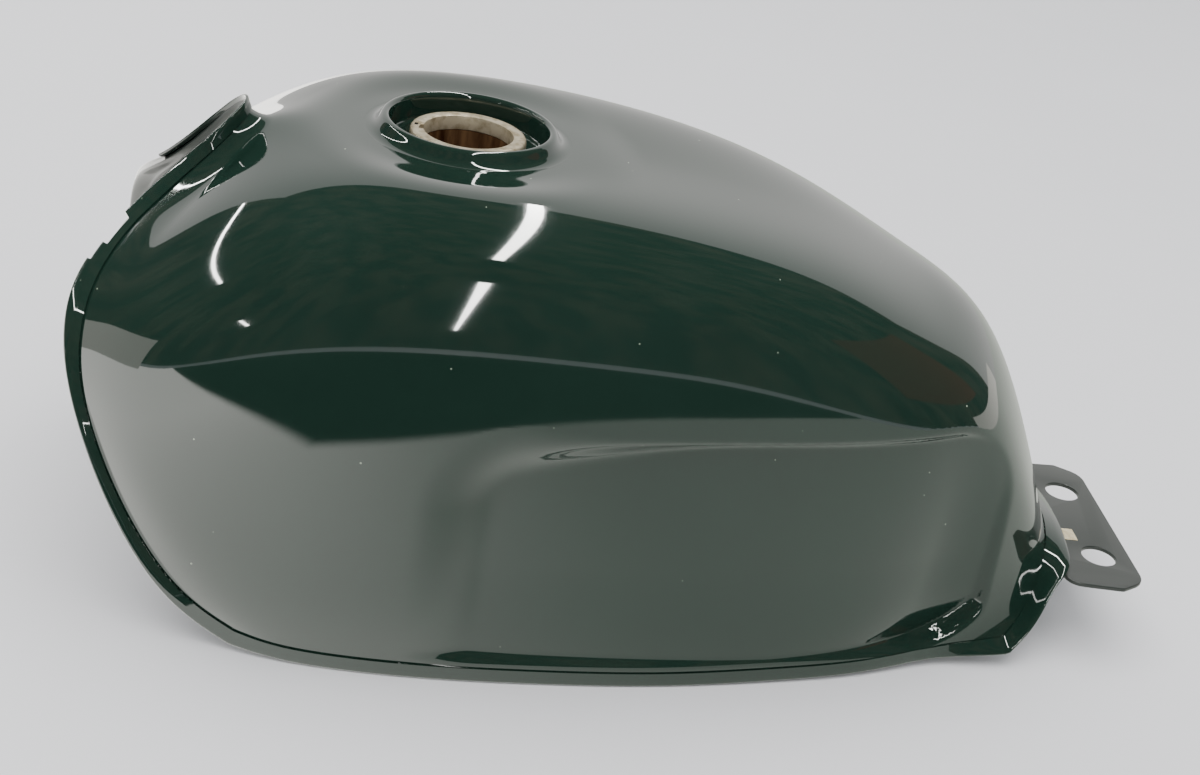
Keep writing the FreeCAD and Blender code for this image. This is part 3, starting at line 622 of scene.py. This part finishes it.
neck_points, neck_faces = turn([(r * MM, z * MM) for r, z in neck_levels], round_turn(512),
                               own_radius=ribbed)
build("filler_neck", neck_points, neck_faces, stained, ["neck_tube"], crisp=45)

# %% [markdown]
# The welded seam follows the free edge of the outer pressing all the way round: up over the
# nose as a narrow arched lip, along the bottom as an upright strip, and round the tail in a
# wider wavy strip that carries the plate. It is swept: at each step along the edge the
# section is placed between the root on the skin and the free edge.

# %% Path of the seam
FRONT_END, BOTTOM_END = 0.37, 0.91
SEAM_LOW = np.array([0, 1, -7.8])
# the same round the tail, every row from the bottom corner to the middle
SEAM_REAR = [(-3, 8, -6), (-5, 11, 0), (-8, 10, 5), (-12, 12, 2), (-13, 4, -4), (-13, 0, -6)]
seam_rear = spline(SEAM_REAR)
# where the seam is cut back at the nose: from, to, share of the width that is left
LEFT_NOTCHES = [(0.098, 0.117, 0.5), (0.117, 0.13, 0.8)]
RIGHT_NOTCHES = [(0.085, 0.2, 0.15)]


def edge_place(fraction):
    """Station and row of a point of the left-hand edge, from nose (0) to rear middle (1)."""
    if fraction < FRONT_END:
        return 0.0, (ROWS - 1) * fraction / FRONT_END
    if fraction < BOTTOM_END:
        return (STATIONS - 1) * (fraction - FRONT_END) / (BOTTOM_END - FRONT_END), ROWS - 1.0
    return STATIONS - 1.0, (ROWS - 1) * (1 - fraction) / (1 - BOTTOM_END)


def seam_reach(fraction):
    """Vector from the root of the seam to its free edge, in metres."""
    station, across = edge_place(fraction)
    if fraction < FRONT_END:
        return seam_front(2 * across)[0] * MM - nose_curl(np.zeros(1), np.array([across]))[0]
    if fraction > BOTTOM_END:
        return seam_rear(ROWS - 1 - across)[0] * MM
    low = SEAM_LOW + (np.array(SEAM_FRONT[-1]) - SEAM_LOW) * ease(1 - station)
    low = low + (np.array(SEAM_REAR[0]) - low) * ease(station - STATIONS + 2)
    return low * MM


def seam_share(fraction, notches):
    """Share of the full width that is left by the notches."""
    for start, end, share in notches:
        if start < fraction < end:
            return share
    return 1.0


print("seam at the nose reaches", seam_reach(0.0).round(4).tolist())

# %% [markdown]
# The section of the seam has a small swelling at the root, where the weld lies, and a rounded
# free edge. Extra sections close together on both sides of each notch keep its walls square.
# The two halves differ only in their notches.

# %% Welded seam
HALF_THICK = 1.0 * MM
SEAM_STEPS, SEAM_LOOK, NOTCH_SIDE = 281, 0.004, 0.0004
# share of the reach, and share of half the thickness, round the section
SEAM_SECTION = [(0.0, 1.0), (0.12, 1.45), (0.3, 1.0), (0.6, 1.0), (0.86, 1.0), (0.96, 0.75),
                (1.0, 0.25), (1.0, -0.25), (0.96, -0.75), (0.86, -1.0), (0.5, -1.0), (0.0, -1.0)]


def seam_fractions():
    steps = np.linspace(0, 1, SEAM_STEPS).tolist()
    for start, end, _ in LEFT_NOTCHES + RIGHT_NOTCHES:
        steps += [start - NOTCH_SIDE, start + NOTCH_SIDE, end - NOTCH_SIDE, end + NOTCH_SIDE]
    return sorted(set(steps))


def seam_half(notches):
    """Sections of the left half of the seam, from the nose to the middle of the rear."""
    half = []
    for fraction in seam_fractions():
        root = skin_at(*edge_place(fraction))[0]
        ahead = skin_at(*edge_place(min(fraction + SEAM_LOOK, 1)))[0]
        behind = skin_at(*edge_place(max(fraction - SEAM_LOOK, 0)))[0]
        along = ahead - behind
        reach = seam_reach(fraction)
        if fraction in (0.0, 1.0):
            along = np.array([0, 1.0 if fraction == 0 else -1.0, 0])
            root[1] = reach[1] = 0
        side = np.cross(along, reach)
        side *= HALF_THICK / np.linalg.norm(side)
        width = seam_share(fraction, notches)
        half.append([root + reach * a * width + side * b for a, b in SEAM_SECTION])
    return np.array(half)


def welded_seam():
    left, right = seam_half(LEFT_NOTCHES), seam_half(RIGHT_NOTCHES) * (1, -1, 1)
    ring = np.concatenate([left, right[-2:0:-1]])
    return ring.reshape(-1, 3), net_faces(len(ring), len(SEAM_SECTION), True, True)


seam_points, seam_faces = welded_seam()
build("welded_seam", seam_points, seam_faces, paint_rough, ["seam_flange"], crisp=45)

# %% [markdown]
# The inner pressing closes the tank from below: a wall behind the steering head, a tunnel
# over the frame tube, and the floors of the two lobes. It meets the outer pressing along the
# seam. It is the same net as in the CAD model, only finer. The spray gun hardly reached it, so
# it has the thin paint of the plate.

# %% Inner pressing
# (behind the filler, below the crest) in millimetres, along the middle from nose to tail
MIDDLE_LINE = [(-122, 8), (-163, 58), (-176, 100), (-122, 128), (-50, 138), (30, 146),
               (112, 156), (196, 170), (278, 191), (345, 212), (381, 214)]
middle_line = spline(MIDDLE_LINE)
ROOF_HALF, ROOF_SHARE = 46 * MM, 0.55
FOOT_HALF, FOOT_SHARE = 55 * MM, 0.85
STEP = 0.02              # parameter step over which directions are measured
EDGE_GAP = 1.3 * MM
LIP_SHARE, LIP_GAP, LIP_ROWS, LIP_FADE = 0.6, 1.4 * MM, 1.3, 0.9
INNER_LINES = np.linspace(0.012, 0.988, 150)
HALF_SHARES = np.concatenate([np.linspace(0, 1, 12), 1 + np.linspace(0, 1, 13)[1:],
                              2 + np.linspace(0, 1, 13)[1:] ** 1.4])


def inner_row(fraction):
    """One line of the inner pressing from its middle to the left edge."""
    station, across = edge_place(fraction)
    over = (skin_at(station, min(across + STEP, ROWS - 1.0)) - skin_at(station, across - STEP))[0]
    run = (skin_at(min(station + STEP, STATIONS - 1.0), across)
           - skin_at(max(station - STEP, 0.0), across))[0]
    normal = np.cross(over, run)
    root = skin_at(station, across)[0]
    edge = root - normal / np.linalg.norm(normal) * EDGE_GAP
    if station == 0:
        reach = seam_reach(fraction)
        along = skin_at(0.0, across + STEP)[0] - skin_at(0.0, max(across - STEP, 0))[0]
        inward = np.cross(along, reach)
        inside = root + reach * LIP_SHARE + inward / np.linalg.norm(inward) * LIP_GAP
        edge = edge + (inside - edge) * (1 - ease((across - LIP_ROWS) / LIP_FADE))
    back, drop = middle_line(fraction * (len(MIDDLE_LINE) - 1))[0]
    middle = np.array([FILLER_X - back * MM, 0, CREST - drop * MM])
    roof = min(ROOF_HALF, ROOF_SHARE * edge[1])
    foot = min(FOOT_HALF, FOOT_SHARE * edge[1])
    half = np.interp(HALF_SHARES, [0, 1, 2, 3], [0, roof, foot, edge[1]])
    depth = (1 - ease((half - roof) / (foot - roof)))[:, None]
    row = edge + (middle - edge) * depth
    row[:, 1] = half
    return row


def inner_pressing():
    half = np.array([inner_row(fraction) for fraction in INNER_LINES])
    net = np.concatenate([half[:, :0:-1] * (1, -1, 1), half], 1)
    points, normals = net.reshape(-1, 3), net_normals(net).reshape(-1, 3)
    return two_layers(points, points + normals * WALL, net_faces(*net.shape[:2]).tolist())


inner_points, inner_faces = inner_pressing()
build("inner_pressing", inner_points, inner_faces, plate_paint, ["inner_shell"],
      crisp=50)

# %% [markdown]
# The rear plate is cut from flat steel: two big holes, rounded corners, and a root that flares
# out to meet the tail. A filled 2D curve gives the outline, the holes and the slightly rolled
# edges in one go. It is turned into a mesh, and a shallow crease is pressed across it.

# %% Rear plate
plate_low, plate_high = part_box("rear_bracket")
PLATE_TOP = plate_high.z
PLATE_BACK = plate_low.x
PLATE_THICK = plate_high.z - plate_low.z
HOLE_X, HOLE_Y, HOLE_RADIUS = PLATE_BACK + 21 * MM, 38.5 * MM, 10.75 * MM
ROLLED = 0.6 * MM
CREASE_SKEW, CREASE_DEPTH, CREASE_WIDTH, CREASE_CUTS = 0.22, 0.7, 3.2, 12
# (ahead of the rear edge, half-width, corner radius) in millimetres
PLATE_OUTLINE = [(106, 30, 3), (56, 30, 14), (50, 72, 12), (16, 74, 4), (0, 64, 15)]


def corner_points(before, corner, after, radius):
    """An arc that rounds one corner of an outline."""
    one, two = (before - corner).normalized(), (after - corner).normalized()
    longest = 0.48 * min((before - corner).length, (after - corner).length)
    reach = min(radius / math.tan(one.angle(two) / 2), longest)
    start, end = corner + one * reach, corner + two * reach
    return [start.lerp(corner, t).lerp(corner.lerp(end, t), t) for t in np.linspace(0, 1, 9)]


def plate_outline():
    left = [Vector((PLATE_BACK + a * MM, h * MM, 0)) for a, h, _ in PLATE_OUTLINE]
    radii = [r * MM for _, _, r in PLATE_OUTLINE]
    whole = left + [Vector((p.x, -p.y, 0)) for p in reversed(left)]
    radii += radii[::-1]
    points = []
    for i, corner in enumerate(whole):
        points += corner_points(whole[i - 1], corner, whole[(i + 1) % len(whole)], radii[i])
    return points


def rear_plate():
    curve = bpy.data.curves.new("plate", "CURVE")
    curve.dimensions, curve.fill_mode = "2D", "BOTH"
    curve.extrude, curve.bevel_depth = PLATE_THICK / 2 - ROLLED, ROLLED
    curve.bevel_resolution, curve.offset = 3, -ROLLED
    loops = [plate_outline()]
    for middle in (-HOLE_Y, HOLE_Y):
        loops.append([Vector((HOLE_X + HOLE_RADIUS * math.cos(a),
                              middle + HOLE_RADIUS * math.sin(a), 0)) for a in round_turn(64)])
    for loop in loops:
        line = curve.splines.new("POLY")
        line.points.add(len(loop) - 1)
        for point, place in zip(line.points, loop):
            point.co = (place.x, place.y, 0, 1)
        line.use_cyclic_u = True
    holder = bpy.data.objects.new("plate", curve)
    bpy.context.scene.collection.objects.link(holder)
    bpy.context.view_layer.update()
    graph = bpy.context.evaluated_depsgraph_get()
    mesh = bpy.data.meshes.new_from_object(holder.evaluated_get(graph))
    bpy.data.objects.remove(holder)
    work = bmesh.new()
    work.from_mesh(mesh)
    bmesh.ops.remove_doubles(work, verts=work.verts, dist=SAME_PLACE)
    for cut in np.linspace(-CREASE_CUTS, CREASE_CUTS, CREASE_CUTS + 1):
        bmesh.ops.bisect_plane(work, geom=work.verts[:] + work.edges[:] + work.faces[:],
                               plane_co=(0, cut * MM, 0), plane_no=(CREASE_SKEW, 1, 0))
    for v in work.verts:
        distance = (v.co.y + CREASE_SKEW * (v.co.x - HOLE_X)) / MM
        v.co.z -= CREASE_DEPTH * MM * math.exp(-(distance / CREASE_WIDTH) ** 2)
        v.co.z += PLATE_TOP - PLATE_THICK / 2
    bmesh.ops.triangulate(work, faces=work.faces)
    points = [tuple(v.co) for v in work.verts]
    faces = [tuple(v.index for v in f.verts) for f in work.faces]
    work.free()
    return points, faces


plate_points, plate_faces = rear_plate()
build("rear_plate", plate_points, plate_faces, plate_paint, ["rear_bracket"], crisp=35)

# %% [markdown]
# A small blank paper label is stuck on the plate, with one corner lifting.


# %% Label
LABEL_STEPS, LABEL_GAP, LABEL_THICK = 12, 0.03 * MM, 0.17 * MM
LIFT, LIFT_FROM = 0.5 * MM, 0.72


def label():
    low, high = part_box("bracket_label")
    middle = (low + high) / 2
    points = []
    for i in range(LABEL_STEPS + 1):
        for j in range(LABEL_STEPS + 1):
            u, v = i / LABEL_STEPS - 0.5, j / LABEL_STEPS - 0.5
            lift = LIFT * max(0, u + v - LIFT_FROM) ** 1.5
            points.append((middle.x + u * (high.x - low.x), middle.y + v * (high.y - low.y),
                           PLATE_TOP + LABEL_GAP + lift))
    under = np.array(points)
    faces = net_faces(LABEL_STEPS + 1, LABEL_STEPS + 1).tolist()
    return two_layers(under + (0, 0, LABEL_THICK), under, faces)


label_points, label_faces = label()
build("blank_label", label_points, label_faces, label_paper, ["bracket_label"])

# %% [markdown]
# Two slosh baffles stand across the fuel space. On the real tank each has a little clearance
# to the pressings. The CAD sheets are taken over and drawn in by a millimetre and a half.

# %% Slosh baffles
BAFFLE_GAP = 1.5 * MM
for name in ("baffle_front", "baffle_rear"):
    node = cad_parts[name]
    low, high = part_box(name)
    middle, span = (low + high) / 2, high - low
    shrink = Vector((1, 1 - 2 * BAFFLE_GAP / span.y, 1 - 2 * BAFFLE_GAP / span.z))
    sheet = [middle + shrink * (node.matrix_world @ v.co - middle) for v in node.data.vertices]
    build(name + "_sheet", sheet, [tuple(f.vertices) for f in node.data.polygons], stained,
          [name])

# %% [markdown]
# The other fittings were pressed or turned with plain shapes, so the CAD nodes are kept as
# they are. Each only gets its finish: bare steel for the tap flange, fuel-stained steel for the
# pipes inside, and the dull green of a single coat for the rest.

# %% Finish of the CAD nodes
FINISH_OF = {"tap_boss": steel, "drain_pipe": stained, "vent_pipe": stained}
kept = {name: node for name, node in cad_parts.items() if not node.hide_render}
for name, node in kept.items():
    node.data.materials.clear()
    node.data.materials.append(FINISH_OF.get(name, primed))
print("kept CAD nodes", sorted(kept))

# %% [markdown]
# The studio. Gloss paint is a mirror, so the lights are laid out for what the tank should
# reflect: a pale floor in its upright sides, a tall pale backdrop behind it that greys the
# top and ends in a straight edge, a dark ceiling between, and two lines of tube lights.

# %% Floor
def plain_surface(name, tint, roughness):
    finish = Finish(name)
    cloud = finish.ramp(finish.noise(0.5, 5.0), 0.3, 0.7)
    base = finish.mix(cloud * 0.5, tint, tuple(c * 0.93 for c in tint[:3]) + (1,))
    return finish.shade(Base_Color=base, Roughness=roughness, Specular_IOR_Level=0.2)


def staged(name, mesh):
    """Hang a mesh in the studio, apart from the tank."""
    thing = bpy.data.objects.new(name, mesh)
    bpy.context.scene.collection.objects.link(thing)
    thing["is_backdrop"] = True
    return thing


def level_square(half, level):
    return [(-half, -half, level), (half, -half, level), (half, half, level), (-half, half, level)]


def flat_panel(name, corners, finish):
    """A four-cornered sheet of the studio."""
    mesh = bpy.data.meshes.new(name)
    mesh.from_pydata(corners, [], [(0, 1, 2, 3)])
    mesh.materials.append(finish)
    return staged(name, mesh)


def glow(name, tint, strength):
    """A surface that shines by itself."""
    finish = Finish(name)
    finish.surface(finish.node("Emission", {}, {"Color": tint, "Strength": strength}))
    return finish.material


flat_panel("floor", level_square(30, -0.5 * MM),
           plain_surface("pale_floor", (0.82, 0.81, 0.82, 1), 0.7))
print("floor laid")

# %% [markdown]
# The sheets that the paint mirrors are hidden from the camera and cast no shadow. The floor
# seen in the paint is one of them: lighter towards the front, as by a doorway, and dark from
# half a metre off. Behind the tank stands a tall pale sheet, and overhead hang the tubes.

# %% What the paint mirrors
def mirrored_only(panel):
    """The camera and matt surfaces don't see it, reflections do."""
    panel.visible_camera = panel.visible_diffuse = panel.visible_shadow = False
    return panel


DIM_END, BRIGHT_END, BEYOND = (0.72, 0.75, 0.68, 1), (3.2, 3.15, 3.0, 1), (0.03, 0.035, 0.035, 1)
LIGHT_FROM, LIGHT_TO = -0.1, 0.62
NARROW_AT, NARROW, WIDER, SPREAD = 0.27, 0.46, 0.52, 0.78


def shining_floor():
    """Bright towards the front, where the daylight is, and dark beyond the sheet's edge."""
    finish = Finish("shining_floor")
    soft = {"interpolation_type": "SMOOTHSTEP"}
    where = finish.node("SeparateXYZ", {}, {"Vector": finish.place()}, 0)
    side = finish.node("SeparateXYZ", {}, {"Vector": finish.place()}, 1)
    ahead = finish.node("MapRange", soft, {"Value": where, "From Min": LIGHT_FROM,
                                           "From Max": LIGHT_TO})
    apart = finish.node("Math", {"operation": "ABSOLUTE"}, {0: where - NARROW_AT})
    near = finish.node("MapRange", soft, {"Value": side - apart * SPREAD, "From Min": NARROW,
                                          "From Max": WIDER, "To Min": 1.0, "To Max": 0.0})
    light = finish.mix(ahead, DIM_END, BRIGHT_END)
    light = finish.mix(near, BEYOND, light)
    finish.surface(finish.node("Emission", {}, {"Color": light, "Strength": 1.0}))
    return finish.material


mirrored_only(flat_panel("floor_light", level_square(6, -0.2 * MM), shining_floor()))
WARM, WHITE = (1.0, 0.96, 0.89, 1), (1.0, 1.0, 0.96, 1)
PANELS = {
    # name: (two opposite corners of an upright sheet, tint, strength)
    "backdrop": ((-5.5, -3.0, 0), (3.0, -3.0, 3.5), (1.0, 0.985, 0.96, 1), 0.78),
    "front_wall": ((3.2, -2.6, 0), (3.2, 1.5, 0.7), WARM, 1.3),
    "rear_wall": ((-4.0, -3.0, 0), (-4.0, 0.3, 0.5), WARM, 1.3),
    "board": ((-4.2, -1.0, 1.0), (-4.2, 2.2, 2.8), (1.0, 0.34, 0.27, 1), 0.22),
}
TUBES = {
    # name: (one end, other end, width)
    "tube_far": ((-0.39, -2.38), (-0.115, 1.5), 0.08),
    "tube_near": ((-0.1, 3.2), (-0.02, 19.0), 0.13),
    "tube_front": ((3.05, -3.9), (3.9, 1.2), 0.09),
    "tube_front_near": ((6.3, 6.5), (7.2, 8.6), 0.16),
}
TUBE_LEVEL, TUBE_STRENGTH, ROOM_RADIUS = 2.45, 45, 28


def sheet_between(low, high):
    """Corners of a flat sheet between two opposite corners."""
    (x0, y0, z0), (x1, y1, z1) = low, high
    if y0 == y1:
        return [(x0, y0, z0), (x1, y0, z0), (x1, y0, z1), (x0, y0, z1)]
    return [(x0, y0, z0), (x0, y1, z0), (x1, y1, z1), (x1, y0, z1)]


def tube_sheet(start, end, width):
    """Corners of a narrow level strip between two points of the ceiling."""
    run = Vector(end) - Vector(start)
    across = Vector((run.y, -run.x)).normalized() * width / 2
    start, end = Vector(start), Vector(end)
    corners = (start + across, end + across, end - across, start - across)
    return [(c.x, c.y, TUBE_LEVEL) for c in corners]


def dim_room():
    """A dark hall all round, just uneven enough to be a room."""
    finish = Finish("dim_room")
    blocks = finish.ramp(finish.noise(2.5, 3.0, (1, 1, 0.35)), 0.4, 0.66)
    tint = finish.mix(blocks, (0.045, 0.06, 0.055, 1), (0.15, 0.13, 0.105, 1))
    finish.surface(finish.node("Emission", {}, {"Color": tint, "Strength": 1.0}))
    dome = bpy.data.meshes.new("room")
    shape = bmesh.new()
    bmesh.ops.create_uvsphere(shape, u_segments=32, v_segments=16, radius=ROOM_RADIUS)
    shape.to_mesh(dome)
    shape.free()
    dome.materials.append(finish.material)
    return staged("room", dome)


mirrored_only(dim_room())
for name, (start, end, width) in TUBES.items():
    mirrored_only(flat_panel(name, tube_sheet(start, end, width), glow(name, WHITE, TUBE_STRENGTH)))
for name, (low, high, tint, strength) in PANELS.items():
    mirrored_only(flat_panel(name, sheet_between(low, high), glow(name, tint, strength)))
print("studio sheets", list(PANELS), list(TUBES))

# %% [markdown]
# Soft light comes from all round, but the paint must not mirror it: the world lights matt
# things and is dark in reflections. One large overhead light gives the floor a soft shadow.

# %% Soft light
world = bpy.data.worlds.new("studio")
bpy.context.scene.world = world
world.use_nodes = True
world.node_tree.nodes["Background"].inputs["Color"].default_value = (0.93, 0.96, 1.0, 1)
world.node_tree.nodes["Background"].inputs["Strength"].default_value = 1.0
world.cycles_visibility.glossy = False
soft = bpy.data.lights.new("overhead", "AREA")
soft.shape, soft.size, soft.size_y, soft.energy = "RECTANGLE", 4.0, 4.0, 140
overhead = bpy.data.objects.new("overhead", soft)
overhead.location = (0.3, 0.4, 3.2)
overhead.visible_glossy = False
bpy.context.scene.collection.objects.link(overhead)
print("overhead", soft.energy, "W")

# %% [markdown]
# The camera stands at the tank's left side, a little ahead of the middle, looks down at it
# and leans ten degrees to one side, as a hand-held camera does.

# %% Camera
lens = bpy.data.cameras.new("camera")
lens.lens, lens.sensor_width, lens.sensor_fit = 54.48, 36, "HORIZONTAL"
lens.clip_start, lens.clip_end = 0.01, 100
camera = bpy.data.objects.new("camera", lens)
right = Vector((-0.985274, 0.072755, 0.154722))
up = Vector((0.103205, -0.468396, 0.877473))
back = right.cross(up)
stand = Vector((0.1695, 0.9563, 0.6016))
camera.matrix_world = Matrix.Translation(stand) @ Matrix((right, up, back)).transposed().to_4x4()
bpy.context.scene.collection.objects.link(camera)
bpy.context.scene.camera = camera
print("camera at", [round(c, 3) for c in camera.location])

# %% [markdown]
# Last, the overall size of what was made is printed.

# %% Sizes and the end
low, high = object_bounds()
print("visual box", [round(c, 4) for c in low], [round(c, 4) for c in high])
